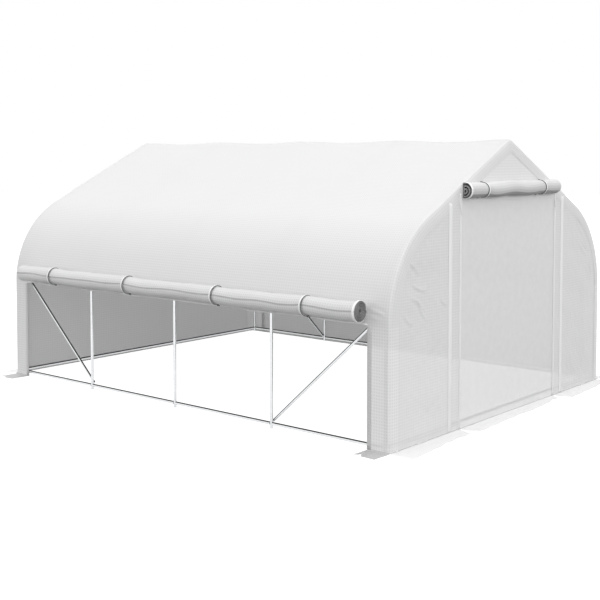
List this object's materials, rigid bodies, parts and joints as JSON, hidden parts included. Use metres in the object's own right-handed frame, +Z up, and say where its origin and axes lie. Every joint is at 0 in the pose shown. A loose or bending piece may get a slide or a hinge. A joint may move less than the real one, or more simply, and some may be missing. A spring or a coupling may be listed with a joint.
{
  "type": "polytunnel greenhouse",
  "caption": "Walk-in polytunnel greenhouse: steel hoops and rails under a woven white cover, with its door and a long side rolled up and tied.",
  "frame": {"origin": "on the ground, at the middle of the plan measured over the skirts", "axes": "+X to the right seen from the door, +Y from the door end to the rear end, +Z up"},
  "size_m": [3.3, 4.24, 1.9999],
  "materials": {
    "galvanised_tube": "galvanised",
    "cover_sheet": "woven polythene, translucent",
    "door_mesh": "fine woven mesh",
    "zip_tape": "woven tape",
    "strap_webbing": "woven webbing"
  },
  "bodies": {
    "root": {"door_roll": "cover_sheet", "door_roll_straps": "strap_webbing", "door_screen": "door_mesh", "door_zips": "zip_tape", "front_base_rail": "galvanised_tube", "front_gable_left_panel": "cover_sheet", "front_gable_right_panel": "cover_sheet", "front_gable_top_panel": "cover_sheet", "front_skirt": "cover_sheet", "hoop_1_posts": "galvanised_tube", "hoop_1_rafters": "galvanised_tube", "hoop_2_posts": "galvanised_tube", "hoop_2_rafters": "galvanised_tube", "hoop_3_posts": "galvanised_tube", "hoop_3_rafters": "galvanised_tube", "hoop_4_posts": "galvanised_tube", "hoop_4_rafters": "galvanised_tube", "hoop_5_posts": "galvanised_tube", "hoop_5_rafters": "galvanised_tube", "left_base_rail": "galvanised_tube", "left_eave_curve": "cover_sheet", "left_front_brace": "galvanised_tube", "left_front_strip": "cover_sheet", "left_rear_brace": "galvanised_tube", "left_rear_strip": "cover_sheet", "left_roof_slope": "cover_sheet", "left_side_rail": "galvanised_tube", "left_skirts": "cover_sheet", "rear_base_rail": "galvanised_tube", "rear_gable_panel": "cover_sheet", "rear_skirt": "cover_sheet", "ridge_elbows": "galvanised_tube", "ridge_rail": "galvanised_tube", "right_base_rail": "galvanised_tube", "right_eave_curve": "cover_sheet", "right_front_brace": "galvanised_tube", "right_front_strip": "cover_sheet", "right_rear_brace": "galvanised_tube", "right_rear_strip": "cover_sheet", "right_roof_slope": "cover_sheet", "right_side_curtain": "cover_sheet", "right_side_rail": "galvanised_tube", "right_skirt": "cover_sheet", "side_curtain_roll": "cover_sheet", "side_roll_straps": "strap_webbing"}
  },
  "joints": []
}
